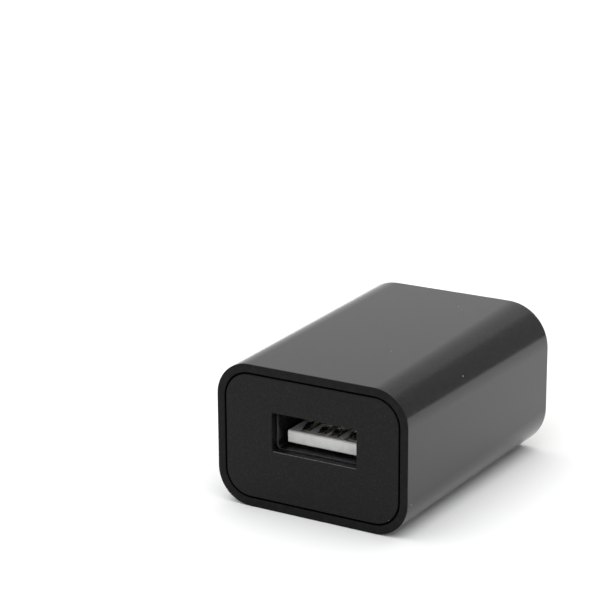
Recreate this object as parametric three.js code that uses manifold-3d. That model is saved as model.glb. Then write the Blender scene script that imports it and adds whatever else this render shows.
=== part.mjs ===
// USB wall charger with a fixed two-blade plug (NEMA 1-15) and one USB-A socket.
//
// Units are millimetres. The origin is the centre of the plug face, the face that seats against the
// wall outlet. +Y points along the blades into the outlet, +Z is up as the charger lies on its broad
// side, and +X is to the right as seen from the USB end.

import * as THREE from "three";
import { mergeVertices } from "three/addons/utils/BufferGeometryUtils.js";
import Module from "manifold-3d";

const wasm = await Module();
wasm.setup();

// ---------------------------------------------------------------- driving dimensions

// The sleeve is a rounded box that grows from the USB end to the plug end (mould draft).
const bodyLength = 41.4;
const usbEnd = { width: 29.2, height: 20.4, radius: 5.0 };
const plugEnd = { width: 31.0, height: 21.8, radius: 6.3 };

// Each end cap sits flush in a mouth of the sleeve and rests on the ledge behind it.
const usbMouth = { width: 26.9, height: 18.0, radius: 3.9 };
const plugMouth = { width: 28.2, height: 18.7, radius: 4.9 };
const mouthDepth = 1.85;
const ledge = 0.8;
const seamGap = 0.3;
const capPlate = 1.8;
const skirt = { reach: 5.2, thickness: 1.0, gap: 0.3 };
const snap = { width: 3.6, length: 1.8, height: 0.8, setback: 3.2, clearance: 0.2 };

// NEMA 1-15 blades.
const bladePitch = 12.7;
const blade = { thickness: 1.5, width: 6.35, length: 16.6, tipCorner: 0.95, tipBevel: 0.4 };
const bladeHole = { distance: 11.7, radius: 1.6 };
const bladeSlotClearance = 0.2;
const bladeTail = { width: 3.2, end: -7.6 };
const carrier = { width: 17.6, height: 8.6, front: -1.95, back: -5.0 };
const insertClearance = 0.06;

// USB-A socket: the opening in the face, the middle of the receptacle behind it, which sits a hair to
// one side, and the sizes of its shell and tongue. The tongue's top is below the shell's middle.
const port = { x: 0.48, z: 1.2, width: 12.9, height: 5.4, wall: 1.1 };
const socket = { x: 0.56, z: 1.2 };
const shell = { innerWidth: 12.5, innerHeight: 5.12, sheet: 0.3, length: 13.8, corner: 0.45 };
const shellSetback = 1.15;
const tongue = { width: 11.1, thickness: 1.75, top: -0.35, front: 1.4, root: 10.2, chamfer: 0.15 };
const insulatorBack = 13.7;
const contactX = [-3.5, -1.0, 1.0, 3.5];
const contact = { width: 1.0, sheet: 0.2, groove: 1.5, grooveDepth: 1.25, lip: 0.6 };

// Circuit board. Through-hole parts hang below it, surface-mounted parts sit on top of it.
const board = { underside: 4.15, thickness: 1.2, width: 24.4, usbEdge: -39.3, plugEdge: -5.4 };
const rail = { inner: 11.45, outer: 13.4, thickness: 0.8, gap: 0.12, from: -36.5, to: -8.5 };
const leadRadius = 0.3;
const leadHoleRadius = 0.5;
const leadStub = 0.8;

// ---------------------------------------------------------------- materials

const plastic = (color, roughness) =>
  new THREE.MeshStandardMaterial({ color, roughness, metalness: 0 });
const metal = (color, roughness) =>
  new THREE.MeshStandardMaterial({ color, roughness, metalness: 1 });

const materials = {
  glossBlack: plastic(0x141416, 0.12),
  matteBlack: plastic(0x1c1c1d, 0.55),
  whiteInsulator: plastic(0xe4e2da, 0.45),
  darkInsulator: plastic(0x232325, 0.6),
  barrierSheet: plastic(0xd8d2b8, 0.5),
  boardGreen: plastic(0x2f6b3d, 0.4),
  tapeYellow: plastic(0xe0b32a, 0.45),
  ferrite: plastic(0x37383b, 0.5),
  nickel: metal(0xcfc8b8, 0.25),
  steel: metal(0xb9bbbd, 0.3),
  gold: metal(0xd9b65a, 0.25),
  bronze: metal(0xb98a55, 0.35),
  canSleeve: plastic(0x2a2d55, 0.35),
  ceramicBlue: plastic(0x3f6fae, 0.5),
  resistorGreen: plastic(0x7f9c84, 0.5),
  chipBlack: plastic(0x202022, 0.6),
  chipCeramic: plastic(0xb79a72, 0.5),
};

// ---------------------------------------------------------------- solid modelling helpers

// A closed three.js geometry as a solid that can be joined and cut.
function solid(geometry) {
  const bare = geometry.clone();
  bare.deleteAttribute("normal");
  bare.deleteAttribute("uv");
  const merged = mergeVertices(bare, 1e-4);
  const vertProperties = merged.attributes.position.array;
  const triVerts = new Uint32Array(merged.index.array);
  return new wasm.Manifold(new wasm.Mesh({ numProp: 3, vertProperties, triVerts }));
}

function geometryOf(made) {
  const mesh = made.getMesh();
  const geometry = new THREE.BufferGeometry();
  geometry.setAttribute("position", new THREE.BufferAttribute(mesh.vertProperties, 3));
  geometry.setIndex(new THREE.BufferAttribute(mesh.triVerts, 1));
  geometry.computeVertexNormals();
  return geometry;
}

function piece(name, made, material) {
  const mesh = new THREE.Mesh(geometryOf(made), material);
  mesh.name = name;
  return mesh;
}

const span = (middle, size) => [middle - size / 2, middle + size / 2];
const ordered = (a, b) => [Math.min(a, b), Math.max(a, b)];
const join = (first, ...rest) => rest.reduce((sum, next) => sum.add(next), first);

function box([x0, x1], [y0, y1], [z0, z1]) {
  const geometry = new THREE.BoxGeometry(x1 - x0, y1 - y0, z1 - z0);
  return solid(geometry.translate((x0 + x1) / 2, (y0 + y1) / 2, (z0 + z1) / 2));
}

// A cylinder from a point along +X, +Y or +Z.
function rod([x, y, z], axis, radius, length, sides = 8) {
  const geometry = new THREE.CylinderGeometry(radius, radius, length, sides);
  geometry.translate(0, length / 2, 0);
  if (axis === "x") geometry.rotateZ(-Math.PI / 2);
  if (axis === "z") geometry.rotateX(Math.PI / 2);
  return solid(geometry.translate(x, y, z));
}

function polygon(points) {
  return new THREE.Shape(points.map(([x, y]) => new THREE.Vector2(x, y)));
}

function roundedRectangle({ width, height, radius }) {
  const x = width / 2 - radius;
  const y = height / 2 - radius;
  const quarter = Math.PI / 2;
  const shape = new THREE.Shape();
  shape.absarc(x, y, radius, 0, quarter);
  shape.absarc(-x, y, radius, quarter, 2 * quarter);
  shape.absarc(-x, -y, radius, 2 * quarter, 3 * quarter);
  shape.absarc(x, -y, radius, 3 * quarter, 4 * quarter);
  return shape;
}

function extruded(shape, depth, curveSegments) {
  return new THREE.ExtrudeGeometry(shape, { depth, curveSegments, bevelEnabled: false });
}

// A section drawn in X and Z, pulled along Y.
function prismY(shape, y0, y1, curveSegments = 6) {
  return extruded(shape, y1 - y0, curveSegments).rotateX(Math.PI / 2).translate(0, y1, 0);
}

// A section drawn in X and Y, pulled along Z.
function prismZ(shape, z0, z1, curveSegments = 6) {
  return extruded(shape, z1 - z0, curveSegments).translate(0, 0, z0);
}

// A section drawn in Y and Z, pulled along X.
function prismX(shape, x0, x1, curveSegments = 6) {
  const turn = new THREE.Matrix4().makeBasis(
    new THREE.Vector3(0, 1, 0),
    new THREE.Vector3(0, 0, 1),
    new THREE.Vector3(1, 0, 0),
  );
  return extruded(shape, x1 - x0, curveSegments).applyMatrix4(turn).translate(x0, 0, 0);
}

// Moves a coordinate of one rounded section to its place in another: flats stretch, arcs scale.
function remap(value, fromHalf, fromRadius, toHalf, toRadius) {
  const side = Math.sign(value);
  const fromCentre = fromHalf - fromRadius;
  const toCentre = toHalf - toRadius;
  const past = Math.abs(value) - fromCentre;
  if (past <= 0) return (value * toCentre) / fromCentre;
  return side * (toCentre + (past * toRadius) / fromRadius);
}

// A rounded box that changes evenly from one section at y0 to another at y1.
function taperedPrism(from, to, y0, y1, curveSegments) {
  const geometry = prismY(roundedRectangle(from), y0, y1, curveSegments);
  const place = geometry.attributes.position;
  for (let i = 0; i < place.count; i++) {
    if (place.getY(i) < (y0 + y1) / 2) continue;
    const x = place.getX(i);
    const z = place.getZ(i);
    place.setX(i, remap(x, from.width / 2, from.radius, to.width / 2, to.radius));
    place.setZ(i, remap(z, from.height / 2, from.radius, to.height / 2, to.radius));
  }
  return solid(geometry);
}

const inset = ({ width, height, radius }, by) => ({
  width: width - 2 * by,
  height: height - 2 * by,
  radius: radius - by,
});

// ---------------------------------------------------------------- housing

const usbCavity = inset(usbMouth, ledge);
const plugCavity = inset(plugMouth, ledge);
const cornerSegments = 10;
const pastEnd = 1;

// Half the cavity's height at a place along the body.
function cavityHalfHeight(y) {
  const share = (y + bodyLength) / bodyLength;
  return THREE.MathUtils.lerp(usbCavity.height, plugCavity.height, share) / 2;
}

// A snap on a skirt. Its ramp faces the way the cap slides in, +1 for +Y and -1 for -Y.
function snapWedge(y, side, slidesTo) {
  const base = cavityHalfHeight(y) - skirt.gap;
  const root = base - skirt.thickness / 2;
  const tip = base + snap.height;
  const ramp = y + (slidesTo * snap.length) / 2;
  const back = y - (slidesTo * snap.length) / 2;
  const section = [
    [back, side * root],
    [back, side * tip],
    [back + slidesTo * 0.4, side * tip],
    [ramp, side * root],
  ];
  const outline = polygon(side * slidesTo > 0 ? section.reverse() : section);
  return solid(prismX(outline, -snap.width / 2, snap.width / 2));
}

// The pocket in the sleeve that a snap clicks into.
function snapPocket(y, side) {
  const outer = cavityHalfHeight(y) - skirt.gap + snap.height + snap.clearance;
  const z = ordered(side * (outer - 1.5), side * outer);
  const wide = snap.width + 2 * snap.clearance;
  return box(span(0, wide), span(y, snap.length + 2 * snap.clearance), z);
}

const usbSnapY = -bodyLength + capPlate + snap.setback;
const plugSnapY = -capPlate - snap.setback;

function housingSleeve() {
  const outer = taperedPrism(usbEnd, plugEnd, -bodyLength, 0, cornerSegments);
  const cavity = taperedPrism(usbCavity, plugCavity, -bodyLength, 0, cornerSegments);
  const usbMouthCut = solid(
    prismY(roundedRectangle(usbMouth), -bodyLength - pastEnd, -bodyLength + mouthDepth, cornerSegments),
  );
  const plugMouthCut = solid(
    prismY(roundedRectangle(plugMouth), -mouthDepth, pastEnd, cornerSegments),
  );
  let made = outer.subtract(cavity).subtract(usbMouthCut).subtract(plugMouthCut);
  for (const side of [-1, 1]) {
    made = made.subtract(snapPocket(usbSnapY, side)).subtract(snapPocket(plugSnapY, side));
    const x = ordered(side * rail.inner, side * rail.outer);
    const below = board.underside - rail.gap;
    const above = board.underside + board.thickness + rail.gap;
    made = made.add(box(x, [rail.from, rail.to], [below - rail.thickness, below]));
    made = made.add(box(x, [rail.from, rail.to], [above, above + rail.thickness]));
  }
  return piece("housing_sleeve", made, materials.glossBlack);
}

// Two stiff tabs that run from the cap's plate along the top and bottom of the cavity.
function skirts(from, to, width, snapY, slidesTo) {
  const made = [-1, 1].flatMap((side) => {
    const reach = Math.min(cavityHalfHeight(from), cavityHalfHeight(to)) - skirt.gap;
    const z = ordered(side * reach, side * (reach - skirt.thickness));
    return [box(span(0, width), [from, to], z), snapWedge(snapY, side, slidesTo)];
  });
  return join(...made);
}

function usbEndCap() {
  const face = -bodyLength;
  const back = face + capPlate;
  const plate = solid(
    prismY(roundedRectangle(inset(usbMouth, seamGap)), face, back, cornerSegments),
  );
  const opening = box(
    span(port.x, port.width),
    [face - pastEnd, back + pastEnd],
    span(port.z, port.height),
  );
  // A pocket behind the opening, so that the metal shell stands close to the face.
  const pocket = box(
    span(socket.x, shell.innerWidth + 2 * shell.sheet + 0.5),
    [face + port.wall, back + pastEnd],
    span(socket.z, shell.innerHeight + 2 * shell.sheet + 0.5),
  );
  const cradleTop = socket.z - shell.innerHeight / 2 - shell.sheet - 0.1;
  const cradleFloor = -cavityHalfHeight(face) + skirt.gap + skirt.thickness / 2;
  const ribs = [-4, 4].map((x) =>
    box(span(socket.x + x, 0.8), [back - 0.2, back + 4.5], [cradleFloor, cradleTop]),
  );
  const tabs = skirts(back - 0.2, back + skirt.reach, 13, usbSnapY, 1);
  const made = join(plate, tabs, ...ribs).subtract(opening).subtract(pocket);
  return piece("usb_end_cap", made, materials.matteBlack);
}

function plugEndCap() {
  const plate = solid(
    prismY(roundedRectangle(inset(plugMouth, seamGap)), -capPlate, 0, cornerSegments),
  );
  const slots = [-1, 1].map((side) =>
    box(
      span((side * bladePitch) / 2, blade.thickness + 2 * bladeSlotClearance),
      [-capPlate - pastEnd, pastEnd],
      span(0, blade.width + 2 * bladeSlotClearance),
    ),
  );
  // Ribs above and below the blade carrier keep it square to the plate.
  const ribs = [-1, 1].map((side) => {
    const near = carrier.height / 2 + 0.1;
    const z = ordered(side * near, side * (near + 0.9));
    return box(span(0, carrier.width), [-5.2, -capPlate + 0.2], z);
  });
  const tabs = skirts(-capPlate - skirt.reach, -capPlate + 0.2, 15, plugSnapY, -1);
  const made = join(plate, tabs, ...ribs).subtract(slots[0]).subtract(slots[1]);
  return piece("plug_end_cap", made, materials.matteBlack);
}

// ---------------------------------------------------------------- plug

// One blade with its centre plane at x = 0: a punched strip with a bevelled tip and a narrow tail.
function plugBlade(name, side) {
  const half = blade.width / 2;
  const tail = bladeTail.width / 2;
  const shoulder = carrier.back - 0.3;
  const rightEdge = [
    [tail, bladeTail.end],
    [tail, shoulder],
    [half, shoulder],
    [half, blade.length - blade.tipCorner],
    [half - blade.tipCorner, blade.length],
  ];
  const leftEdge = rightEdge.map(([z, y]) => [-z, y]).reverse();
  const strip = [...rightEdge, ...leftEdge].map(([z, y]) => [y, z]).reverse();
  const thick = blade.thickness / 2;
  const bevelled = polygon([
    [-thick, bladeTail.end],
    [thick, bladeTail.end],
    [thick, blade.length - blade.tipCorner],
    [thick - blade.tipBevel, blade.length],
    [blade.tipBevel - thick, blade.length],
    [-thick, blade.length - blade.tipCorner],
  ]);
  const made = solid(prismX(polygon(strip), -thick, thick))
    .intersect(solid(prismZ(bevelled, -half, half)))
    .subtract(rod([-2, bladeHole.distance, 0], "x", bladeHole.radius, 4, 20));
  const mesh = piece(name, made, materials.nickel);
  mesh.position.x = (side * bladePitch) / 2;
  return mesh;
}

function bladeCarrier() {
  const block = box(
    span(0, carrier.width),
    [carrier.back, carrier.front],
    span(0, carrier.height),
  );
  const slots = [-1, 1].map((side) =>
    box(
      span((side * bladePitch) / 2, blade.thickness + 2 * insertClearance),
      [carrier.back - pastEnd, carrier.front + pastEnd],
      span(0, blade.width + 2 * insertClearance),
    ),
  );
  const made = block.subtract(slots[0]).subtract(slots[1]);
  return piece("blade_carrier", made, materials.darkInsulator);
}

// A bent leaf that leans on the outer face of a blade's tail and is soldered through the board.
function bladeContact(name, side) {
  const touch = bladePitch / 2 + blade.thickness / 2 + 0.05;
  const foot = touch + 1.4;
  const sheet = 0.3;
  const top = board.underside + board.thickness + leadStub;
  const leaf = polygon([
    [touch + 0.5, -1.9],
    [touch + 0.5 + sheet, -1.9],
    [touch + sheet, -0.6],
    [touch + sheet, 0.6],
    [foot + sheet, 2.6],
    [foot + sheet, top],
    [foot, top],
    [foot, 2.7],
    [touch, 0.7],
    [touch, -0.7],
  ]);
  const mesh = piece(name, solid(prismY(leaf, -7.4, -5.9)), materials.bronze);
  mesh.rotation.z = side > 0 ? 0 : Math.PI;
  if (side < 0) mesh.position.y = -13.3;
  return mesh;
}

// ---------------------------------------------------------------- USB-A receptacle
// Drawn in its own group: x and z from the middle of the shell, y from the shell's front edge.

function usbShell() {
  const { innerWidth, innerHeight, sheet, length, corner } = shell;
  const inner = { width: innerWidth, height: innerHeight, radius: corner };
  const tube = solid(prismY(roundedRectangle(inset(inner, -sheet)), 0, length, 3)).subtract(
    solid(prismY(roundedRectangle(inner), -pastEnd, length + pastEnd, 3)),
  );
  let made = tube;
  // Two spring tabs in the top wall and two shallow ones in the bottom wall grip the plug. Each runs
  // back from the front of its window, slopes inwards and turns out again at its free end.
  const window = { x: 3.1, width: 2.4, from: 1.7, to: 7.2 };
  const tab = { width: 1.7, start: 1.5, crest: 4.8, end: 6.4 };
  for (const { upDown, dip } of [{ upDown: 1, dip: 0.7 }, { upDown: -1, dip: 0.22 }]) {
    const wall = (upDown * (innerHeight + sheet)) / 2;
    const profile = [
      [tab.start, wall],
      [tab.crest, wall - upDown * dip],
      [tab.end, wall - (upDown * dip) / 2],
    ];
    const under = profile.map(([y, z]) => [y, z - sheet / 2]);
    const over = profile.map(([y, z]) => [y, z + sheet / 2]).reverse();
    for (const x of [-window.x, window.x]) {
      const cut = box(span(x, window.width), [window.from, window.to], span(wall, 3 * sheet));
      const outline = polygon([...under, ...over]);
      const strip = solid(prismX(outline, x - tab.width / 2, x + tab.width / 2));
      made = made.subtract(cut).add(strip);
    }
  }
  // Two legs hold the shell to the board.
  for (const side of [-1, 1]) {
    const x = (side * (innerWidth + sheet)) / 2;
    made = made.add(box(span(x, sheet), span(legY, 2), [0, legTop]));
  }
  return piece("usb_shell", made, materials.steel);
}

const legY = 9.0;
const legTop = board.underside + board.thickness + leadStub - socket.z;
const tailX = contactX;
const tailY = insulatorBack + 0.35;

function usbInsulator() {
  const { innerWidth, innerHeight, corner } = shell;
  const inside = inset({ width: innerWidth, height: innerHeight, radius: corner }, 0.08);
  const back = solid(prismY(roundedRectangle(inside), tongue.root, insulatorBack, 3));
  const { top, chamfer } = tongue;
  const bottom = top - tongue.thickness;
  const blank = polygon([
    [tongue.front, bottom + chamfer],
    [tongue.front + chamfer, bottom],
    [tongue.root + 0.2, bottom],
    [tongue.root + 0.2, top],
    [tongue.front + chamfer, top],
    [tongue.front, top - chamfer],
  ]);
  let made = solid(prismX(blank, -tongue.width / 2, tongue.width / 2)).add(back);
  for (const x of contactX) {
    const groove = box(
      span(x, contact.groove),
      [tongue.front + contact.lip, tongue.root],
      [top - contact.grooveDepth, top + 1],
    );
    const channel = box(
      span(x, contact.width + 0.12),
      [tongue.root - 0.1, insulatorBack + 1],
      [contactRest - 0.06, contactRest + contact.sheet + 0.06],
    );
    made = made.subtract(groove).subtract(channel);
  }
  return piece("usb_insulator", made, materials.whiteInsulator);
}

// The underside of each contact where it leaves the insulator's back block.
const contactRest = tongue.top - 0.35;
const contactRoot = tongue.root - 0.1;

// The free arm of one contact: it runs forward in its groove, rises to the bump that the plug
// presses, and turns down at the tip. Its hinge is at contactRoot.
function usbContact(number) {
  const low = contactRest;
  const centre = [
    [contactRoot, low],
    [contactRoot - 2.6, low + 0.05],
    [contactRoot - 5.6, low + 0.62],
    [contactRoot - 6.5, low + 0.7],
    [contactRoot - 7.2, low + 0.45],
    [contactRoot - 7.6, low + 0.05],
  ];
  const under = centre.toReversed();
  const over = centre.map(([y, z]) => [y, z + contact.sheet]);
  const outline = polygon([...under, ...over]);
  const made = solid(prismX(outline, -contact.width / 2, contact.width / 2));
  const mesh = piece(`usb_contact_${number}`, made, materials.gold);
  mesh.position.x = contactX[number - 1];
  return mesh;
}

// The fixed leg of the same contact: through the back block, then up through the board.
function usbContactLeg(number) {
  const low = contactRest;
  const sheet = contact.sheet;
  const top = legTop;
  const bend = tailY + sheet / 2;
  const outline = polygon([
    [contactRoot + 0.1, low],
    [bend, low],
    [bend, top],
    [bend - sheet, top],
    [bend - sheet, low + sheet],
    [contactRoot + 0.1, low + sheet],
  ]);
  const made = solid(prismX(outline, -contact.width / 2, contact.width / 2));
  const mesh = piece(`usb_contact_leg_${number}`, made, materials.gold);
  mesh.position.x = contactX[number - 1];
  return mesh;
}

// ---------------------------------------------------------------- electronics
// Drawn in the board's group: z is measured from the board's underside.

const boardTop = board.thickness;
const leadTop = board.thickness + leadStub;
const leadHoles = [];

// A straight lead that rises through the board. It also asks for the hole that it passes through.
function lead(x, y, from, owner) {
  leadHoles.push([owner[0] + x, owner[1] + y]);
  return rod([x, y, from], "z", leadRadius, leadTop - from);
}

function placed(mesh, [x, y], z = 0) {
  mesh.position.set(x, y, z);
  return mesh;
}

// An upright electrolytic capacitor: its can hangs below the board, with a rolled groove near the
// seal and a dished end.
function canCapacitor(name, at, diameter, height) {
  const r = diameter / 2;
  const top = -0.15;
  const profile = [
    [0, top - height + 0.2],
    [r - 0.9, top - height + 0.2],
    [r - 0.7, top - height],
    [r - 0.25, top - height],
    [r, top - height + 0.25],
    [r, top - 2.0],
    [r - 0.3, top - 1.6],
    [r, top - 1.2],
    [r, top - 0.2],
    [r - 0.2, top],
    [0, top],
  ].map(([x, y]) => new THREE.Vector2(x, y));
  const can = solid(new THREE.LatheGeometry(profile, 20).rotateX(Math.PI / 2));
  const pitch = diameter > 6 ? 2.5 : 2.0;
  const leads = [-1, 1].map((side) => lead((side * pitch) / 2, 0, top - 0.1, at));
  return placed(piece(name, join(can, ...leads), materials.canSleeve), at);
}

// An axial part that lies along Y under the board, its leads bent up at both ends.
function axialPart(name, at, diameter, length, material) {
  const r = diameter / 2;
  const z = -r - 0.25;
  const half = length / 2;
  const bulge = Math.min(0.35, r / 4);
  const profile = [
    [0, -half],
    [r - bulge, -half],
    [r, -half + 0.5],
    [r, -half + 1.4],
    [r - bulge, -half + 1.9],
    [r - bulge, half - 1.9],
    [r, half - 1.4],
    [r, half - 0.5],
    [r - bulge, half],
    [0, half],
  ].map(([x, y]) => new THREE.Vector2(x, y));
  const body = solid(new THREE.LatheGeometry(profile, 16)).translate([0, 0, z]);
  const bent = [-1, 1].map((side) => {
    const y = side * (half + 0.6);
    const from = side > 0 ? half - 0.2 : -half - 0.6 - leadRadius;
    const level = rod([0, from, z], "y", leadRadius, 0.8 + leadRadius);
    return level.add(lead(0, y, z, at));
  });
  return placed(piece(name, join(body, ...bent), material), at);
}

// The disc of the safety capacitor stands on edge in the plane of Y and Z.
function discCapacitor(name, at, diameter, thickness) {
  const r = diameter / 2;
  const rim = 0.5;
  const profile = [
    [0, -thickness / 2],
    [r - rim, -thickness / 2],
    [r, -thickness / 2 + rim],
    [r, thickness / 2 - rim],
    [r - rim, thickness / 2],
    [0, thickness / 2],
  ].map(([x, y]) => new THREE.Vector2(x, y));
  const disc = solid(new THREE.LatheGeometry(profile, 20).rotateZ(Math.PI / 2));
  const z = -r - 0.4;
  const leads = [-1, 1].map((side) => lead(0, side * 2.5, z, at));
  const made = join(disc.translate([0, 0, z]), ...leads);
  return placed(piece(name, made, materials.ceramicBlue), at);
}

// A moulded chip on top of the board with gull-wing legs along both long sides.
function surfaceChip(name, at, { width, length, height, legs, legPitch, legSpan }) {
  const lift = 0.1;
  const body = box(span(0, width), span(0, length), [boardTop + lift, boardTop + lift + height]);
  const wings = [];
  for (const side of [-1, 1]) {
    for (let i = 0; i < legs; i++) {
      const y = (i - (legs - 1) / 2) * legPitch;
      const knee = width / 2 + 0.25;
      const outline = polygon([
        [width / 2 - 0.2, boardTop + height / 2],
        [knee, boardTop + height / 2],
        [knee, boardTop + 0.03],
        [legSpan / 2, boardTop + 0.03],
        [legSpan / 2, boardTop + 0.23],
        [knee + 0.2, boardTop + 0.23],
        [knee + 0.2, boardTop + height / 2 + 0.2],
        [width / 2 - 0.2, boardTop + height / 2 + 0.2],
      ]);
      const wing = solid(prismY(outline, y - 0.2, y + 0.2));
      wings.push(side > 0 ? wing : wing.rotate([0, 0, 180]).translate([0, 2 * y, 0]));
    }
  }
  return placed(piece(name, join(body, ...wings), materials.chipBlack), at);
}

// A leadless resistor or capacitor: a ceramic block with a thicker cap at each end.
function chipBlock(name, at, height, turned) {
  const lift = 0.04;
  const size = { length: 2.0, width: 1.2, cap: 0.4 };
  const bottom = boardTop + lift;
  const middle = box(span(0, size.length - 0.2), span(0, size.width), [bottom, bottom + height]);
  const ends = [-1, 1].map((side) =>
    box(
      span((side * (size.length - size.cap)) / 2, size.cap),
      span(0, size.width + 0.08),
      [bottom - 0.02, bottom + height + 0.04],
    ),
  );
  const made = join(middle, ...ends).rotate([0, 0, turned ? 90 : 0]);
  return placed(piece(name, made, materials.chipCeramic), at);
}

// ---------------------------------------------------------------- transformer
// Drawn in its own group: the middle of the centre leg is its origin.

const core = { length: 12.4, depth: 10.8, height: 5.6, back: 1.5, outerLeg: 1.4, centreLeg: 3.0 };
const bobbin = { half: 4.5, flange: 0.6, reach: 3.95, wall: 0.45, top: 4.7 };
const transformerAt = [0, -20.2, -5.75];

function transformerCore(name, side) {
  const joint = 0.03;
  const x = (from, to) => ordered(side * from, side * to);
  const z = span(0, core.height);
  const outer = core.length / 2;
  const leg = core.depth / 2 - core.outerLeg;
  const made = join(
    box(x(outer - core.back, outer), span(0, core.depth), z),
    box(x(joint, outer - core.back / 2), [leg, leg + core.outerLeg], z),
    box(x(joint, outer - core.back / 2), [-leg - core.outerLeg, -leg], z),
    box(x(joint, outer - core.back / 2), span(0, core.centreLeg), z),
  );
  return piece(name, made, materials.ferrite);
}

function transformerBobbin() {
  const bore = { y: core.centreLeg + 0.2, z: core.height + 0.2 };
  const tube = box(
    span(0, 2 * bobbin.half),
    span(0, bore.y + 2 * bobbin.wall),
    span(0, bore.z + 2 * bobbin.wall),
  );
  const rise = -transformerAt[2] - 0.1;
  const parts = [tube];
  for (const side of [-1, 1]) {
    const x = ordered(side * bobbin.half, side * (bobbin.half - bobbin.flange));
    parts.push(box(x, span(0, 2 * bobbin.reach), [-bobbin.top, bobbin.top]));
    const rowX = side * (bobbin.half - 0.3);
    parts.push(box(span(rowX, 1.8), span(0, 9.6), [core.height / 2 + 1.3, rise]));
    for (const y of [-3.6, 0, 3.6]) {
      const pin = lead(rowX, y, rise - 0.5 + transformerAt[2], transformerAt);
      parts.push(pin.translate([0, 0, -transformerAt[2]]));
    }
  }
  const hollow = box(
    span(0, 2 * bobbin.half + 2),
    span(0, bore.y),
    span(0, bore.z),
  );
  return piece("transformer_bobbin", join(...parts).subtract(hollow), materials.darkInsulator);
}

function transformerWinding() {
  const clear = 0.06;
  const half = bobbin.half - bobbin.flange - clear;
  const hole = {
    y: core.centreLeg + 0.2 + 2 * bobbin.wall + 2 * clear,
    z: core.height + 0.2 + 2 * bobbin.wall + 2 * clear,
  };
  const coil = { width: 2 * (bobbin.reach - 0.1), height: 2 * (bobbin.top - 0.25), radius: 1.4 };
  // The section is drawn in Y and Z, so the roundedRectangle's width runs along Y.
  const made = solid(prismX(roundedRectangle(coil), -half, half, 4))
    .subtract(box(span(0, 2 * half + 2), span(0, hole.y), span(0, hole.z)))
    .subtract(box(span(0, 2 * half + 2), span(0, 12), [core.height / 2 + 1.25, 8]))
    .add(
      box([-half, half], span(0, coil.width - 1), [hole.z / 2, core.height / 2 + 1.2]),
    );
  return piece("transformer_winding", made, materials.tapeYellow);
}

// ---------------------------------------------------------------- board

function circuitBoard() {
  const size = { from: board.usbEdge, to: board.plugEdge };
  let made = box(span(0, board.width), [size.from, size.to], [0, board.thickness]);
  for (const [x, y] of leadHoles) {
    made = made.subtract(rod([x, y, -1], "z", leadHoleRadius, board.thickness + 2));
  }
  const front = -bodyLength + shellSetback;
  const slot = (x, y, width, length) =>
    box(span(x, width), span(y, length), [-1, board.thickness + 1]);
  for (const side of [-1, 1]) {
    const shellX = socket.x + (side * (shell.innerWidth + shell.sheet)) / 2;
    made = made.subtract(slot(shellX, front + legY, 0.9, 2.6));
    const contactFootX = side * (bladePitch / 2 + blade.thickness / 2 + 0.05 + 1.4 + 0.15);
    made = made.subtract(slot(contactFootX, -6.65, 0.8, 2.0));
  }
  for (const x of tailX) {
    made = made.subtract(slot(socket.x + x, front + tailY, 1.4, 0.7));
  }
  return piece("circuit_board", made, materials.boardGreen);
}

// A thin sheet that keeps the mains side away from the USB socket.
function insulationBarrier() {
  const made = box(span(0, 12.6), [-25.95, -25.72], [-7.2, 3.95]);
  return piece("insulation_barrier", made, materials.barrierSheet);
}

// ---------------------------------------------------------------- assembly

const charger = new THREE.Group();

charger.add(housingSleeve(), usbEndCap(), plugEndCap(), bladeCarrier(), insulationBarrier());
charger.add(plugBlade("blade_left", -1), plugBlade("blade_right", 1));
charger.add(bladeContact("blade_contact_left", -1), bladeContact("blade_contact_right", 1));

const receptacle = new THREE.Group();
receptacle.position.set(socket.x, -bodyLength + shellSetback, socket.z);
receptacle.add(usbShell(), usbInsulator());
for (let number = 1; number <= contactX.length; number++) {
  receptacle.add(usbContact(number), usbContactLeg(number));
}
charger.add(receptacle);

const electronics = new THREE.Group();
electronics.position.z = board.underside;
electronics.add(
  canCapacitor("input_capacitor_1", [-3.6, -11.3], 6.3, 11.0),
  canCapacitor("input_capacitor_2", [3.6, -11.3], 6.3, 11.0),
  canCapacitor("output_capacitor_1", [-8.75, -36.2], 5.0, 10.3),
  canCapacitor("output_capacitor_2", [-8.75, -30.4], 5.0, 10.3),
  axialPart("fusible_resistor", [-9.3, -18.6], 3.0, 8.4, materials.resistorGreen),
  axialPart("filter_choke", [9.4, -18.6], 3.4, 8.0, materials.darkInsulator),
  axialPart("output_diode", [9.5, -35.6], 2.7, 5.2, materials.chipBlack),
  discCapacitor("safety_capacitor", [9.5, -28.4], 7.0, 3.0),
);

const transformer = new THREE.Group();
transformer.position.set(...transformerAt);
transformer.add(
  transformerCore("transformer_core_left", -1),
  transformerCore("transformer_core_right", 1),
  transformerBobbin(),
  transformerWinding(),
);
electronics.add(transformer);

const sop8 = { width: 3.9, length: 4.9, height: 1.45, legs: 4, legPitch: 1.27, legSpan: 6.0 };
const bridgeBody = { width: 3.9, length: 4.7, height: 1.9, legs: 2, legPitch: 2.54, legSpan: 6.4 };
const optoBody = { width: 4.4, length: 2.6, height: 1.9, legs: 2, legPitch: 1.27, legSpan: 6.8 };
electronics.add(
  surfaceChip("controller_chip", [0, -18.6], sop8),
  surfaceChip("bridge_rectifier", [0, -13.4], bridgeBody),
  surfaceChip("optocoupler", [0, -23.8], optoBody),
);
const resistorPlaces = [[-6.6, -18.4], [6.4, -18.4], [6.6, -22.4], [-6.6, -22.4]];
const ceramicPlaces = [[-6.6, -26.6], [6.8, -26.4], [-3.6, -31.6], [4.2, -31.6]];
resistorPlaces.forEach((at, i) =>
  electronics.add(chipBlock(`chip_resistor_${i + 1}`, at, 0.5, i % 2 === 1)),
);
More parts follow.
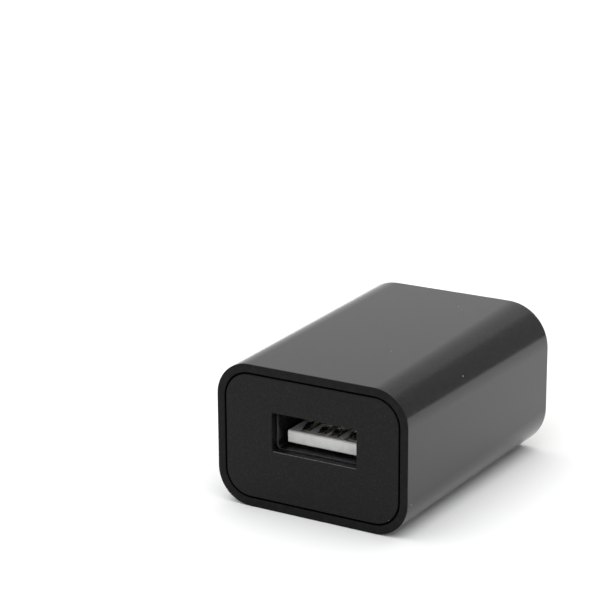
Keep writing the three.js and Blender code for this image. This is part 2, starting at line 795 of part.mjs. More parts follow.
ceramicPlaces.forEach((at, i) =>
  electronics.add(chipBlock(`chip_capacitor_${i + 1}`, at, 0.9, i % 2 === 0)),
);
// The board comes last, because every through-hole part has named its holes by now.
electronics.add(circuitBoard());
charger.add(electronics);

export default charger;
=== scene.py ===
"""Looks for the USB wall charger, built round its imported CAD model."""

import math

import bmesh
import bpy
from mathutils import Matrix, Vector


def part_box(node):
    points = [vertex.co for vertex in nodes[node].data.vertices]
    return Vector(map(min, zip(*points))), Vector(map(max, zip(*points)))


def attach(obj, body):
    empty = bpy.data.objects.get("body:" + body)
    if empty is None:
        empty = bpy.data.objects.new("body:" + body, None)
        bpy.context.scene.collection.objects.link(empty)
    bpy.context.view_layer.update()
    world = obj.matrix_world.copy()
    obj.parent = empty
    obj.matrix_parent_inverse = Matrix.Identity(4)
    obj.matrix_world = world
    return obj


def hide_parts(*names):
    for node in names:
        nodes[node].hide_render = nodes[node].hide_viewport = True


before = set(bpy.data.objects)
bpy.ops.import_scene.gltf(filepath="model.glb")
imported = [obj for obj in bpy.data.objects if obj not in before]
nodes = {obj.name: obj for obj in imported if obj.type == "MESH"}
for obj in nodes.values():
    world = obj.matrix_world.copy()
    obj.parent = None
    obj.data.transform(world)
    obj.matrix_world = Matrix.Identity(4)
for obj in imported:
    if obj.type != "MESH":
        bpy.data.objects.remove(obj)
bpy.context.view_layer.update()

MM = 0.001
BODY = "charger"

# Sizes in millimetres, the same as the CAD part's.
LENGTH = 41.4
USB_END = (29.2, 20.4, 5.0)
PLUG_END = (31.0, 21.8, 6.3)
USB_MOUTH = (26.9, 18.0, 3.9)
PLUG_MOUTH = (28.2, 18.7, 4.9)
MOUTH_DEPTH = 1.85
LEDGE = 0.8
SEAM = 0.25
PORT = (0.48, 1.2, 12.9, 5.4)
SOCKET_X = 0.56
BLADE_PITCH = 12.7
BLADE = {"thick": 1.5, "width": 6.35, "length": 16.6, "tail": 3.2, "end": -7.6, "shoulder": -5.3}
BLADE_HOLE = (11.7, 1.6)
RAIL_REACH = 13.45
RAIL_TOP = 6.27


# ---------------------------------------------------------------- mesh tools
# Meshes are drawn in millimetres, and become metres when they are finished.


def rounded(width, height, radius, x=0.0, z=0.0, steps=18):
    """The outline of a rounded rectangle, anticlockwise from its right side."""
    points = []
    for sx, sz, start in ((1, 1, 0), (-1, 1, 90), (-1, -1, 180), (1, -1, 270)):
        cx, cz = x + sx * (width / 2 - radius), z + sz * (height / 2 - radius)
        for i in range(steps + 1):
            a = math.radians(start + 90 * i / steps)
            points.append((cx + radius * math.cos(a), cz + radius * math.sin(a)))
    return points


def inset(section, by):
    width, height, radius = section
    return (width - 2 * by, height - 2 * by, radius - by)


def blend_sections(a, b, share):
    return tuple(p + (q - p) * share for p, q in zip(a, b))


def ring_band(bm, first, second):
    """Quads between two rings of vertices with the same count."""
    count = len(first)
    for i in range(count):
        j = (i + 1) % count
        bm.faces.new((first[i], first[j], second[j], second[i]))


def sleeve_of(bm, sections):
    """A closed wall: sections (y, (width, height, radius)) in order, out along the outside and back
    along the inside."""
    rings = [
        [bm.verts.new((x, y, z)) for x, z in rounded(*section)] for y, section in sections
    ]
    for a, b in zip(rings, rings[1:] + rings[:1]):
        ring_band(bm, a, b)


def offset_loop(points, by):
    """Every point moved to its left by the same distance from both of its edges."""
    moved = []
    count = len(points)
    for i in range(count):
        p, q, r = points[i - 1], points[i], points[(i + 1) % count]
        a = Vector((q[0] - p[0], q[1] - p[1])).normalized()
        b = Vector((r[0] - q[0], r[1] - q[1])).normalized()
        na, nb = Vector((-a.y, a.x)), Vector((-b.y, b.x))
        mid = na + nb
        scale = by * 2 / max(mid.dot(mid), 0.5)
        moved.append((q[0] + mid.x * scale, q[1] + mid.y * scale))
    return moved


def plate(bm, loops, low, high, edge, place, steps=3):
    """A plate with rounded edges between two depths. The first loop is its anticlockwise outline,
    and the others are clockwise holes. place turns (u, v, depth) into a point."""
    verts = {"low": [], "high": []}
    for loop in loops:
        rings = []
        for side in ("low", "high"):
            order = range(steps + 1) if side == "low" else range(steps, -1, -1)
            for k in order:
                a = math.pi / 2 * k / steps
                drop = edge * (1 - math.cos(a))
                depth = low + drop if side == "low" else high - drop
                points = offset_loop(loop, edge * (1 - math.sin(a)))
                rings.append([bm.verts.new(place(u, v, depth)) for u, v in points])
        for a, b in zip(rings, rings[1:]):
            ring_band(bm, a, b)
        verts["low"].append(rings[0])
        verts["high"].append(rings[-1])
    for side in ("low", "high"):
        edges = []
        for ring in verts[side]:
            for i, v in enumerate(ring):
                edges.append(bm.edges.get((v, ring[(i + 1) % len(ring)])))
        bmesh.ops.triangle_fill(bm, use_beauty=True, use_dissolve=False, edges=edges)


def along_y(u, v, depth):
    return (u, depth, v)


def along_x(u, v, depth):
    return (depth, u, v)


def block(bm, x, y, z, edge=0.12):
    """A rectangular bar with rounded long edges."""
    outline = [(x[0], z[0]), (x[1], z[0]), (x[1], z[1]), (x[0], z[1])]
    plate(bm, [outline], y[0], y[1], edge, along_y, steps=2)


def cylinder_loop(x, y, radius, count=40):
    """A clockwise circle."""
    turn = [-2 * math.pi * i / count for i in range(count)]
    return [(x + radius * math.cos(a), y + radius * math.sin(a)) for a in turn]


def finished(bm, name, material, replaced=(), body=BODY, sharp=38):
    """Turns the drawn mesh into a piece that rides on its body."""
    bmesh.ops.scale(bm, vec=(MM, MM, MM), verts=bm.verts)
    bmesh.ops.recalc_face_normals(bm, faces=bm.faces)
    mesh = bpy.data.meshes.new(name)
    bm.to_mesh(mesh)
    bm.free()
    mesh.shade_smooth()
    mesh.set_sharp_from_angle(angle=math.radians(sharp))
    mesh.materials.append(material)
    piece = bpy.data.objects.new(name, mesh)
    bpy.context.scene.collection.objects.link(piece)
    weighted = piece.modifiers.new("even_shading", "WEIGHTED_NORMAL")
    weighted.keep_sharp = True
    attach(piece, body)
    if replaced:
        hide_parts(*replaced)
    return piece


# ---------------------------------------------------------------- material tools


class Shader:
    """One procedural material. Lengths are in millimetres, and colours are linear."""

    def __init__(self, name, colour, roughness, metallic=0.0, specular=0.5, coat=0.0):
        self.material = bpy.data.materials.new(name)
        self.material.use_nodes = True
        self.tree = self.material.node_tree
        self.bsdf = self.tree.nodes["Principled BSDF"]
        self.set(self.bsdf, "Base Color", (*colour, 1))
        self.set(self.bsdf, "Roughness", roughness)
        self.set(self.bsdf, "Metallic", metallic)
        self.set(self.bsdf, "Specular IOR Level", specular)
        self.set(self.bsdf, "Coat Weight", coat)
        self.place = self.node("ShaderNodeTexCoord").outputs["Object"]
        self.colour = None
        self.rough = None
        self.normal = None

    def node(self, kind, **values):
        made = self.tree.nodes.new(kind)
        for key, value in values.items():
            setattr(made, key, value)
        return made

    def set(self, node, socket, value):
        if isinstance(value, bpy.types.NodeSocket):
            self.tree.links.new(value, node.inputs[socket])
        else:
            node.inputs[socket].default_value = value

    def stretched(self, x=1.0, y=1.0, z=1.0):
        mapping = self.node("ShaderNodeMapping")
        self.set(mapping, "Vector", self.place)
        self.set(mapping, "Scale", (x, y, z))
        return mapping.outputs["Vector"]

    def noise(self, size, detail=2.0, place=None, roughness=0.5):
        """Noise whose features are about size millimetres across."""
        made = self.node("ShaderNodeTexNoise")
        self.set(made, "Vector", place or self.place)
        self.set(made, "Scale", 1 / (size * MM))
        self.set(made, "Detail", detail)
        self.set(made, "Roughness", roughness)
        return made.outputs["Fac"]

    def specks(self, spacing, size):
        """Small round spots, one or none in each cell."""
        made = self.node("ShaderNodeTexVoronoi")
        self.set(made, "Vector", self.place)
        self.set(made, "Scale", 1 / (spacing * MM))
        return self.ramp(made.outputs["Distance"], (size / spacing, 1), (1.3 * size / spacing, 0))

    def ramp(self, value, low, high):
        """Runs smoothly from low's result to high's between their two inputs."""
        made = self.node("ShaderNodeMapRange", interpolation_type="SMOOTHSTEP")
        self.set(made, "Value", value)
        self.set(made, "From Min", low[0])
        self.set(made, "From Max", high[0])
        self.set(made, "To Min", low[1])
        self.set(made, "To Max", high[1])
        return made.outputs["Result"]

    def maths(self, operation, a, b=0.0):
        made = self.node("ShaderNodeMath", operation=operation)
        self.set(made, 0, a)
        self.set(made, 1, b)
        return made.outputs[0]

    def axis(self, which):
        """A coordinate in millimetres."""
        made = self.node("ShaderNodeSeparateXYZ")
        self.set(made, 0, self.place)
        return self.maths("MULTIPLY", made.outputs[which], 1000.0)

    def within(self, which, low, high, soft=0.02):
        """One where a coordinate lies between two places, and nought elsewhere."""
        at = self.axis(which)
        up = self.ramp(at, (low - soft, 0), (low + soft, 1))
        down = self.ramp(at, (high - soft, 1), (high + soft, 0))
        return self.maths("MULTIPLY", up, down)

    def mixed(self, share, a, b):
        made = self.node("ShaderNodeMix", data_type="RGBA")
        self.set(made, 0, share)
        for socket, value in ((6, a), (7, b)):
            if isinstance(value, bpy.types.NodeSocket):
                self.tree.links.new(value, made.inputs[socket])
            else:
                made.inputs[socket].default_value = (*value, 1)
        return made.outputs[2]

    def tint(self, share, colour):
        """Colours the surface where share is one."""
        base = self.colour or tuple(self.bsdf.inputs["Base Color"].default_value)[:3]
        self.colour = self.mixed(share, base, colour)
        self.set(self.bsdf, "Base Color", self.colour)

    def dull(self, share, roughness):
        """Changes the roughness where share is one."""
        start = self.rough if self.rough is not None else self.bsdf.inputs["Roughness"].default_value
        made = self.node("ShaderNodeMix", data_type="FLOAT")
        self.set(made, 0, share)
        self.set(made, 2, start)
        self.set(made, 3, roughness)
        self.rough = made.outputs[0]
        self.set(self.bsdf, "Roughness", self.rough)

    def metal(self, share):
        self.set(self.bsdf, "Metallic", share)

    def relief(self, height, depth):
        """Raises the surface by up to depth millimetres."""
        made = self.node("ShaderNodeBump")
        self.set(made, "Strength", 1.0)
        self.set(made, "Distance", depth * MM)
        self.set(made, "Height", height)
        if self.normal is not None:
            self.set(made, "Normal", self.normal)
        self.normal = made.outputs["Normal"]
        self.set(self.bsdf, "Normal", self.normal)


def gloss_black():
    """Polished black moulding with fine haze and a little dust."""
    s = Shader("gloss_black", (0.0030, 0.0030, 0.0032), 0.15, specular=0.43)
    haze = s.noise(2.6, 4.0)
    s.tint(s.ramp(haze, (0.45, 0), (0.75, 0.6)), (0.006, 0.006, 0.0062))
    s.tint(s.ramp(s.noise(0.2, 3.0, roughness=0.7), (0.44, 0), (0.62, 1)), (0.020, 0.020, 0.0205))
    s.dull(s.ramp(s.noise(1.1, 3.0), (0.35, 0), (0.75, 1)), 0.19)
    dust = s.maths("MULTIPLY", s.specks(2.6, 0.085), s.ramp(s.noise(5.0), (0.56, 0), (0.6, 1)))
    s.tint(dust, (0.34, 0.33, 0.32))
    s.dull(dust, 0.8)
    s.relief(s.noise(3.5, 2.0), 0.003)
    return s.material


def satin_black():
    """The sleeve's dull end faces, inside and ledges."""
    s = Shader("satin_black", (0.0035, 0.0035, 0.0037), 0.45, specular=0.12)
    s.tint(s.ramp(s.noise(0.9, 3.0), (0.4, 0), (0.75, 1)), (0.007, 0.007, 0.0072))
    s.dull(s.ramp(s.noise(0.4, 2.0), (0.35, 0), (0.7, 1)), 0.56)
    s.relief(s.noise(0.16, 2.0), 0.010)
    return s.material


def matte_black():
    """Spark-eroded black moulding: a fine sparkling grain, a few specks of dust, and a paler strip
    along the USB opening's lower lip that is a painted highlight on the lip's rounded edge."""
    s = Shader("matte_black", (0.0038, 0.0038, 0.0040), 0.42, specular=0.16)
    grain = s.noise(0.17, 3.0, roughness=0.65)
    s.tint(s.ramp(grain, (0.5, 0), (0.72, 1)), (0.014, 0.014, 0.0145))
    s.dull(s.ramp(s.noise(0.3, 2.0), (0.35, 0), (0.7, 1)), 0.5)
    dust = s.maths("MULTIPLY", s.specks(2.1, 0.06), s.ramp(s.noise(4.0), (0.56, 0), (0.6, 1)))
    s.tint(dust, (0.28, 0.27, 0.26))
    x, z, width, height = PORT
    # Painted highlight: a paler strip along the USB opening's lower lip, for the light its rounded
    # edge catches, broken up by the grain.
    painted_lip_highlight = s.maths(
        "MULTIPLY",
        s.within("Z", z - height / 2 - 0.12, z - height / 2 - 0.04, 0.04),
        s.maths(
            "MULTIPLY",
            s.within("Y", -LENGTH - 0.1, -LENGTH + 0.12),
            s.within("X", x - width / 2 + 0.2, x + width / 2),
        ),
    )
    s.tint(s.maths("MULTIPLY", painted_lip_highlight, s.ramp(grain, (0.35, 0.3), (0.6, 1))), (0.12, 0.12, 0.12))
    s.relief(grain, 0.028)
    s.relief(s.noise(0.5, 2.0), 0.012)
    return s.material


def nickel():
    """Satin nickel plate with fine drawing lines along the blade."""
    s = Shader("nickel", (0.60, 0.56, 0.48), 0.24, metallic=1.0)
    lines = s.noise(0.10, 3.0, s.stretched(y=0.03))
    s.tint(s.ramp(s.noise(2.2, 3.0), (0.35, 0), (0.75, 1)), (0.66, 0.63, 0.57))
    s.tint(s.ramp(lines, (0.55, 0), (0.8, 0.6)), (0.48, 0.44, 0.36))
    s.dull(s.ramp(lines, (0.35, 0), (0.75, 1)), 0.38)
    s.relief(lines, 0.004)
    return s.material


def sheet_metal(name, colour, worn, roughness=0.26):
    """Bright pressed sheet with rolling lines and a mottled flash of plating."""
    s = Shader(name, colour, roughness, metallic=1.0)
    lines = s.noise(0.08, 3.0, s.stretched(x=0.12))
    s.tint(s.ramp(s.noise(0.7, 4.0), (0.42, 0), (0.7, 1)), worn)
    s.dull(s.ramp(lines, (0.35, 0), (0.75, 1)), roughness + 0.16)
    s.relief(lines, 0.0010)
    return s.material


def moulded(name, colour, other, roughness=0.5, grain=0.2, specular=0.5):
    """Moulded plastic with a faint flow mottle and a fine grain."""
    s = Shader(name, colour, roughness, specular=specular)
    s.tint(s.ramp(s.noise(1.6, 4.0), (0.4, 0), (0.72, 1)), other)
    s.dull(s.ramp(s.noise(0.5, 3.0), (0.35, 0), (0.7, 1)), roughness + 0.12)
    s.relief(s.noise(grain, 3.0), 0.010)
    return s.material


def leaded(name, colour, other, lead_above, roughness=0.45, bands=()):
    """A component's body, with tinned leads above a height, and painted bands along Y."""
    s = Shader(name, colour, roughness)
    s.tint(s.ramp(s.noise(0.9, 4.0), (0.4, 0), (0.72, 1)), other)
    for low, high, paint in bands:
        s.tint(s.within("Y", low, high), paint)
    leads = s.ramp(s.axis("Z"), (lead_above - 0.05, 0), (lead_above + 0.05, 1))
    s.tint(leads, (0.62, 0.62, 0.63))
    s.metal(leads)
    s.dull(s.maths("MULTIPLY", leads, s.ramp(s.noise(0.3), (0.3, 0.4), (0.7, 1))), 0.3)
    s.relief(s.noise(0.25, 3.0), 0.008)
    return s.material


def can_sleeve(low, high):
    """A capacitor's shrunk sleeve, with its bare aluminium end and a pale polarity stripe."""
    s = Shader("capacitor_sleeve", (0.018, 0.022, 0.085), 0.34)
    s.tint(s.ramp(s.noise(1.2, 3.0), (0.4, 0), (0.72, 1)), (0.028, 0.034, 0.12))
    stripe = s.ramp(s.noise(1.4, 0.0, s.stretched(z=0.02)), (0.60, 0), (0.61, 1))
    s.tint(stripe, (0.42, 0.43, 0.46))
    bare = s.maths("SUBTRACT", 1.0, s.within("Z", low, high))
    s.tint(bare, (0.66, 0.66, 0.67))
    s.metal(bare)
    s.dull(s.ramp(s.noise(0.4, 3.0), (0.35, 0), (0.7, 1)), 0.44)
    s.relief(s.noise(0.35, 3.0), 0.008)
    return s.material


def chip_mould(legs_below, legs_from):
    """Black epoxy with a fine blasted grain, and tinned legs along both sides."""
    s = Shader("chip_mould", (0.012, 0.012, 0.013), 0.55)
    s.tint(s.ramp(s.noise(0.2, 3.0), (0.45, 0), (0.7, 1)), (0.022, 0.022, 0.023))
    away = s.maths("ABSOLUTE", s.axis("X"))
    legs = s.maths(
        "MULTIPLY",
        s.ramp(away, (legs_from - 0.03, 0), (legs_from + 0.03, 1)),
        s.ramp(s.axis("Z"), (legs_below - 0.05, 1), (legs_below + 0.05, 0)),
    )
    s.tint(legs, (0.62, 0.62, 0.63))
    s.metal(legs)
    s.dull(legs, 0.3)
    s.relief(s.noise(0.15, 3.0), 0.010)
    return s.material


def chip_ceramic():
    """Pale ceramic with small dark flecks and a sugary grain."""
    s = Shader("chip_ceramic", (0.46, 0.36, 0.23), 0.5)
    s.tint(s.ramp(s.noise(0.25, 3.0), (0.4, 0), (0.7, 1)), (0.58, 0.49, 0.36))
    s.tint(s.ramp(s.noise(0.12, 2.0), (0.62, 0), (0.68, 0.5)), (0.24, 0.17, 0.1))
    s.relief(s.noise(0.12, 3.0), 0.008)
    return s.material


def board_green():
    """Solder mask over copper: traces show as paler bands, with a fine glass weave below."""
    s = Shader("circuit_board", (0.010, 0.075, 0.030), 0.32)
    brick = s.node("ShaderNodeTexBrick")
    s.set(brick, "Vector", s.place)
    s.set(brick, "Scale", 420.0)
    s.set(brick, "Mortar Size", 0.055)
    s.set(brick, "Mortar Smooth", 0.1)
    traces = s.maths("MULTIPLY", brick.outputs["Fac"], s.ramp(s.noise(6.0), (0.42, 0), (0.46, 1)))
    s.tint(traces, (0.03, 0.16, 0.06))
    wave = s.node("ShaderNodeTexWave", bands_direction="X")
    s.set(wave, "Vector", s.place)
    s.set(wave, "Scale", 900.0)
    s.tint(s.ramp(wave.outputs["Fac"], (0.4, 0), (1.0, 0.25)), (0.02, 0.11, 0.045))
    edge = s.maths("SUBTRACT", 1.0, s.within("Z", 4.17, 5.33))
    s.tint(s.maths("MULTIPLY", s.maths("SUBTRACT", 1.0, edge), 0.35), (0.32, 0.30, 0.16))
    s.dull(s.ramp(s.noise(0.8, 3.0), (0.35, 0), (0.7, 1)), 0.42)
    s.relief(traces, 0.03)
    return s.material


def winding_tape():
    """Yellow film wound in layers, with copper ghosting through."""
    s = Shader("winding_tape", (0.72, 0.46, 0.035), 0.3, coat=0.3)
    layers = s.noise(0.35, 2.0, s.stretched(y=0.05, z=0.05))
    s.tint(s.ramp(layers, (0.5, 0), (0.75, 0.8)), (0.62, 0.34, 0.03))
    s.tint(s.ramp(s.noise(1.2, 3.0), (0.4, 0), (0.75, 0.5)), (0.80, 0.56, 0.08))
    s.dull(s.ramp(s.noise(0.6, 3.0), (0.35, 0), (0.7, 1)), 0.42)
    s.relief(layers, 0.02)
    return s.material


# ---------------------------------------------------------------- sleeve

black_gloss = gloss_black()
black_satin = satin_black()
black_matte = matte_black()


def outer_at(y, by=0.0):
    return inset(blend_sections(USB_END, PLUG_END, (y + LENGTH) / LENGTH), by)


def fillet(y, direction, section, radius, steps=5):
    """Sections round an outside edge, from the end face to the wall. direction is +1 where the
    wall runs towards +Y."""
    made = []
    for k in range(steps + 1):
        a = math.pi / 2 * k / steps
        by = radius * (1 - math.sin(a))
        at = y + direction * radius * (1 - math.cos(a))
        made.append((at, inset(section, by)))
    return made


def mouth(y, direction, section, lip, steps=3):
    """Sections down into a mouth: its rounded lip, its wall and the ledge behind it."""
    made = []
    for k in range(steps + 1):
        a = math.pi / 2 * k / steps
        by = -lip * (1 - math.sin(a))
        made.append((y + direction * lip * (1 - math.cos(a)), inset(section, by)))
    bottom = y + direction * MOUTH_DEPTH
    made.append((bottom, section))
    made.append((bottom, inset(section, LEDGE)))
    return made


def by_rails(at):
    """Whether a face is as near the middle as the board's rails, and so inside the sleeve."""
    return abs(at.x) < (RAIL_REACH + 0.01) * MM and abs(at.z) < (RAIL_TOP + 0.01) * MM


def sleeve():
    """The outer shell with its rails: gloss outside, satin on the end faces and inside."""
    bm = bmesh.new()
    edge = 0.1
    outside = fillet(-LENGTH, 1, USB_END, edge)
    outside += [(y, outer_at(y)) for y in (-41.0, -34.0, -27.0, -20.0, -13.0, -6.0, -0.5)]
    outside += reversed(fillet(0.0, -1, PLUG_END, edge))
    inside = mouth(0.0, -1, PLUG_MOUTH, 0.1) + list(reversed(mouth(-LENGTH, 1, USB_MOUTH, 0.1)))
    sleeve_of(bm, outside + inside)
    for side in (-1, 1):
        x = sorted((side * 11.45, side * RAIL_REACH))
        block(bm, x, (-36.5, -8.5), (3.23, 4.03), 0.1)
        block(bm, x, (-36.5, -8.5), (5.47, RAIL_TOP), 0.1)
    piece = finished(bm, "sleeve", black_gloss, ["housing_sleeve"])
    mesh = piece.data
    mesh.materials.append(black_satin)
    for face in mesh.polygons:
        at, facing = face.center, face.normal
        outward = facing.x * at.x + facing.z * at.z > 0 and not by_rails(at)
        if not outward or abs(facing.y) > 0.7:
            face.material_index = 1
    return piece


# ---------------------------------------------------------------- end panels


def skirts(bm, y0, y1, width, reach, snap_y, slides_to):
    """The two tabs that hold an end panel in the sleeve, each with its snap."""
    for side in (-1, 1):
        z = sorted((side * reach, side * (reach - 1.0)))
        block(bm, (-width / 2, width / 2), (y0, y1), z, 0.1)
        back, ramp = snap_y - slides_to * 0.9, snap_y + slides_to * 0.9
        tip = side * (reach + 0.75)
        root = side * (reach - 0.4)
        wedge = [(back, root), (back, tip), (back + slides_to * 0.4, tip), (ramp, root)]
        if side * slides_to > 0:
            wedge.reverse()
        plate(bm, [wedge], -1.8, 1.8, 0.08, along_x, steps=2)


def usb_panel():
    bm = bmesh.new()
    face = -LENGTH
    outline = rounded(*inset(USB_MOUTH, SEAM))
    x, z, width, height = PORT
    opening = rounded(width, height, 0.22, x, z, 5)[::-1]
    pocket = rounded(13.6, 6.22, 0.4, SOCKET_X, z, 5)[::-1]
    plate(bm, [outline, opening], face, face + 1.1, 0.14, along_y, steps=4)
    smaller = rounded(*inset(USB_MOUTH, SEAM + 0.04))
    plate(bm, [smaller, pocket], face + 1.06, face + 1.8, 0.09, along_y)
    skirts(bm, face + 1.7, face + 7.0, 13.0, 7.9, face + 5.0, 1)
    for rib in (-4, 4):
        middle = SOCKET_X + rib
        block(bm, (middle - 0.4, middle + 0.4), (face + 1.7, face + 6.3), (-7.3, -1.76), 0.08)
    return finished(bm, "usb_panel", black_matte, ["usb_end_cap"])


def plug_panel():
    bm = bmesh.new()
    outline = rounded(*inset(PLUG_MOUTH, SEAM))
    slot = (BLADE["thick"] + 0.4, BLADE["width"] + 0.4, 0.2)
    slots = [rounded(*slot, side * BLADE_PITCH / 2, 0, 4)[::-1] for side in (-1, 1)]
    plate(bm, [outline, *slots], -1.8, 0.0, 0.09, along_y)
    skirts(bm, -7.0, -1.7, 15.0, 8.25, -5.0, -1)
    for side in (-1, 1):
        z = sorted((side * 4.4, side * 5.3))
        block(bm, (-8.8, 8.8), (-5.2, -1.7), z, 0.08)
    return finished(bm, "plug_panel", black_matte, ["plug_end_cap"])


# ---------------------------------------------------------------- blades


def blade(name, side, material):
    """A punched blade: rounded edges, a drilled hole and a tip coined thinner."""
    bm = bmesh.new()
    half, tail = BLADE["width"] / 2, BLADE["tail"] / 2
    end, shoulder, tip = BLADE["end"], BLADE["shoulder"], BLADE["length"]
    corner = 0.95
    outline = [
        (end, -tail),
        (shoulder, -tail),
        (shoulder, -half),
        (tip - corner - 0.12, -half),
        (tip - corner + 0.08, -half + 0.1),
        (tip - 0.1, -half + corner - 0.06),
        (tip, -half + corner + 0.12),
        (tip, half - corner - 0.12),
        (tip - 0.1, half - corner + 0.06),
        (tip - corner + 0.08, half - 0.1),
        (tip - corner - 0.12, half),
        (shoulder, half),
        (shoulder, tail),
        (end, tail),
    ]
    hole = cylinder_loop(BLADE_HOLE[0], 0, BLADE_HOLE[1], 48)
    thick = BLADE["thick"] / 2
    plate(bm, [outline, hole], -thick, thick, 0.14, along_x, steps=4)
    start = tip - 1.7
    for at in (start, start + 0.8):
        geometry = bm.verts[:] + bm.edges[:] + bm.faces[:]
        bmesh.ops.bisect_plane(bm, geom=geometry, plane_co=(0, at, 0), plane_no=(0, 1, 0))
    for v in bm.verts:
        past = (v.co.y - start) / (tip - start)
        if past > 0:
            v.co.x *= 1 - 0.42 * past**1.6
        v.co.x += side * BLADE_PITCH / 2
    return finished(bm, name, material, [name], sharp=32)


# ---------------------------------------------------------------- carried-over parts


def carried(name, material, edge=0.05):
    """A CAD node that stays, with softened edges and its own material."""
    node = nodes[name]
    node.data.materials.clear()
    node.data.materials.append(material)
    if "custom_normal" in node.data.attributes:
        node.data.attributes.remove(node.data.attributes["custom_normal"])
    node.data.shade_smooth()
    node.data.set_sharp_from_angle(angle=math.radians(35))
    weld = node.modifiers.new("joined", "WELD")
    weld.merge_threshold = 2e-6
    if edge:
        bevel = node.modifiers.new("soft_edges", "BEVEL")
        bevel.width = edge * MM
        bevel.segments = 2
        bevel.limit_method = "ANGLE"
        bevel.angle_limit = math.radians(35)
    node.modifiers.new("even_shading", "WEIGHTED_NORMAL")


sleeve()
usb_panel()
plug_panel()
blade_nickel = nickel()
blade("blade_left", -1, blade_nickel).name = "plug_blade_left"
blade("blade_right", 1, blade_nickel).name = "plug_blade_right"

# The USB shell is tinned steel, coloured near black: painted shade for the dark inside of the port.
tin_painted_shade = sheet_metal("tinned_steel", (0.075, 0.075, 0.08), (0.05, 0.05, 0.053), 0.36)
gold = sheet_metal("contact_plate", (0.66, 0.61, 0.52), (0.52, 0.46, 0.36), 0.16)
bronze = sheet_metal("spring_bronze", (0.50, 0.31, 0.15), (0.38, 0.22, 0.10), 0.3)
white = moulded("white_insulator", (0.72, 0.725, 0.705), (0.63, 0.64, 0.62), 0.42, 0.3)
dark = moulded("dark_insulator", (0.020, 0.020, 0.022), (0.034, 0.034, 0.036), 0.5)
ferrite = moulded("ferrite", (0.030, 0.031, 0.034), (0.055, 0.056, 0.060), 0.42, 0.12)
barrier = moulded("barrier_sheet", (0.66, 0.62, 0.47), (0.58, 0.52, 0.38), 0.46, 0.25)
can_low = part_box("input_capacitor_1")[0].z / MM
cans = can_sleeve(can_low + 0.9, 3.9)
lead_height = 3.95
resistor = leaded(
    "resistor_coating", (0.23, 0.33, 0.25), (0.28, 0.40, 0.30), lead_height, 0.42,
    bands=[(-21.6, -20.9, (0.35, 0.16, 0.02)), (-20.1, -19.4, (0.02, 0.02, 0.02)),
           (-18.6, -17.9, (0.02, 0.02, 0.02)), (-16.2, -15.5, (0.45, 0.33, 0.08))],
)
choke = leaded("choke_coating", (0.020, 0.020, 0.022), (0.04, 0.04, 0.043), lead_height)
diode = leaded(
    "diode_mould", (0.012, 0.012, 0.013), (0.024, 0.024, 0.025), lead_height, 0.5,
    bands=[(-38.0, -37.2, (0.55, 0.55, 0.56))],
)
disc = leaded("disc_coating", (0.035, 0.12, 0.36), (0.05, 0.17, 0.45), lead_height, 0.5)
chips = chip_mould(6.3, 1.97)
ceramic = chip_ceramic()
tape = winding_tape()
green = board_green()

for name, material, edge in (
    ("usb_shell", tin_painted_shade, 0.05),
    ("usb_insulator", white, 0.05),
    ("blade_carrier", dark, 0.1),
    ("blade_contact_left", bronze, 0.05),
    ("blade_contact_right", bronze, 0.05),
    ("insulation_barrier", barrier, 0.03),
    ("circuit_board", green, 0.0),
    ("transformer_core_left", ferrite, 0.12),
    ("transformer_core_right", ferrite, 0.12),
    ("transformer_bobbin", dark, 0.06),
    ("transformer_winding", tape, 0.1),
    ("fusible_resistor", resistor, 0.0),
    ("filter_choke", choke, 0.0),
    ("output_diode", diode, 0.0),
    ("safety_capacitor", disc, 0.0),
    ("controller_chip", chips, 0.04),
    ("bridge_rectifier", chips, 0.04),
    ("optocoupler", chips, 0.04),
):
    carried(name, material, edge)
for number in (1, 2):
    carried(f"input_capacitor_{number}", cans, 0.0)
    carried(f"output_capacitor_{number}", cans, 0.0)
for number in (1, 2, 3, 4):
    carried(f"usb_contact_{number}", gold, 0.04)
    carried(f"usb_contact_leg_{number}", gold, 0.04)
    carried(f"chip_resistor_{number}", ceramic, 0.04)
    carried(f"chip_capacitor_{number}", ceramic, 0.04)


# ---------------------------------------------------------------- table, light and camera

# Brightness of the room on the camera's side, and overhead.
FRONT_WALL = 0.85
CEILING = 2.2

# The body is thinner at the USB end, so the table that it lies on is tilted a little to its axis.
table_tilt = math.atan((PLUG_END[1] - USB_END[1]) / 2 / LENGTH)
table = Matrix.Translation(Vector((0, -41.57, -10.197)) * MM) @ Matrix.Rotation(-table_tilt, 4, "X")


def table_top():
    """A plain white sheet, just clear of the charger's underside."""
    s = Shader("table_white", (0.90, 0.90, 0.90), 0.7, specular=0.1)
    s.tint(s.ramp(s.noise(400.0, 2.0), (0.4, 0), (0.7, 1)), (0.88, 0.89, 0.90))
    mesh = bpy.data.meshes.new("table_top")
    half = 6.0
    corners = [(-half, -half, 0), (half, -half, 0), (half, half, 0), (-half, half, 0)]
    mesh.from_pydata(corners, [], [(0, 1, 2, 3)])
    mesh.materials.append(s.material)
    top = bpy.data.objects.new("table_top", mesh)
    top.matrix_world = table @ Matrix.Translation((0, 0, -0.02 * MM))
    bpy.context.scene.collection.objects.link(top)


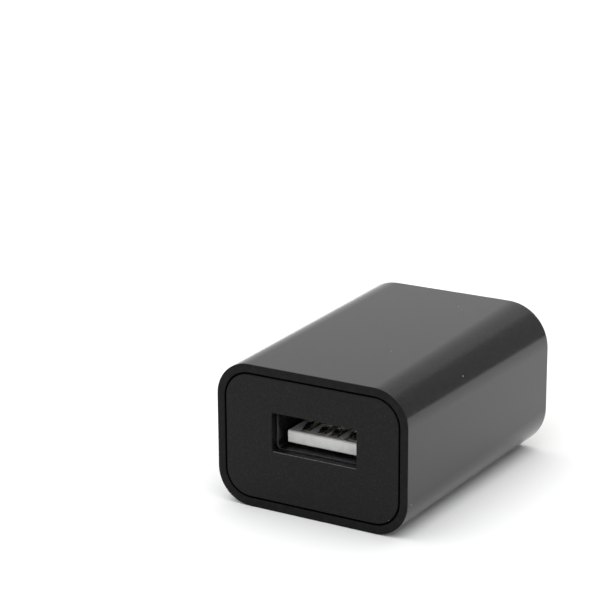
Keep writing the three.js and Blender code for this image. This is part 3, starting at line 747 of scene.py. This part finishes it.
def studio():
    """Plain soft light from a pale room: lighter to the left, greyer to the right, and a broad
    bright ceiling."""
    world = bpy.data.worlds.new("studio")
    bpy.context.scene.world = world
    world.use_nodes = True
    tree = world.node_tree
    ground = tree.nodes["Background"]
    coordinates = tree.nodes.new("ShaderNodeTexCoord")
    split = tree.nodes.new("ShaderNodeSeparateXYZ")
    tree.links.new(coordinates.outputs["Generated"], split.inputs[0])

    def share_of(value, low, high):
        made = tree.nodes.new("ShaderNodeMapRange")
        made.interpolation_type = "SMOOTHSTEP"
        tree.links.new(value, made.inputs["Value"])
        made.inputs["From Min"].default_value = low
        made.inputs["From Max"].default_value = high
        return made.outputs["Result"]

    def mixed(share, a, b):
        made = tree.nodes.new("ShaderNodeMix")
        made.data_type = "FLOAT"
        for socket, value in zip(made.inputs[0:1] + made.inputs[2:4], (share, a, b)):
            if isinstance(value, bpy.types.NodeSocket):
                tree.links.new(value, socket)
            else:
                socket.default_value = value
        return made.outputs[0]

    # The wall's brightness by the angle in degrees round the Y axis, from overhead to the right.
    wall = ((-90, 0.86), (-56, 0.84), (-12, 0.68), (8, 0.68), (30, 0.40), (90, 0.36))
    angle = tree.nodes.new("ShaderNodeMath")
    angle.operation = "ARCTAN2"
    tree.links.new(split.outputs["X"], angle.inputs[0])
    tree.links.new(split.outputs["Z"], angle.inputs[1])
    place = tree.nodes.new("ShaderNodeMapRange")
    tree.links.new(angle.outputs[0], place.inputs["Value"])
    place.inputs["From Min"].default_value = -math.pi / 2
    place.inputs["From Max"].default_value = math.pi / 2
    ramp = tree.nodes.new("ShaderNodeValToRGB")
    tree.links.new(place.outputs["Result"], ramp.inputs["Fac"])
    ramp.color_ramp.interpolation = "EASE"
    stops = ramp.color_ramp.elements
    for stop, (degrees, value) in zip((stops[0], stops[1]), (wall[0], wall[-1])):
        stop.position = (degrees + 90) / 180
        stop.color = (value, value, value, 1)
    for degrees, value in wall[1:-1]:
        stops.new((degrees + 90) / 180).color = (value, value, value, 1)

    behind = share_of(split.outputs["Y"], -0.1, 0.3)
    ceiling = share_of(split.outputs["Z"], 0.62, 0.85)
    brightness = mixed(ceiling, mixed(behind, FRONT_WALL, ramp.outputs["Color"]), CEILING)
    tree.links.new(brightness, ground.inputs["Color"])


def camera():
    """Stands off the USB end's right corner and looks down at it."""
    lens = bpy.data.cameras.new("camera")
    lens.sensor_width = 36
    lens.lens = 124.5
    lens.clip_start, lens.clip_end = 0.01, 30
    made = bpy.data.objects.new("camera", lens)
    bpy.context.scene.collection.objects.link(made)
    made.matrix_world = (
        table
        @ Matrix.Translation(Vector((132.76, -226.2, 106.8)) * MM)
        @ Matrix.Rotation(math.radians(30.606), 4, "Z")
        @ Matrix.Rotation(math.radians(90 - 16.29), 4, "X")
        @ Matrix.Rotation(0.0025, 4, "Z")
    )
    bpy.context.scene.camera = made


table_top()
studio()
camera()
bpy.context.scene.view_settings.view_transform = "Standard"
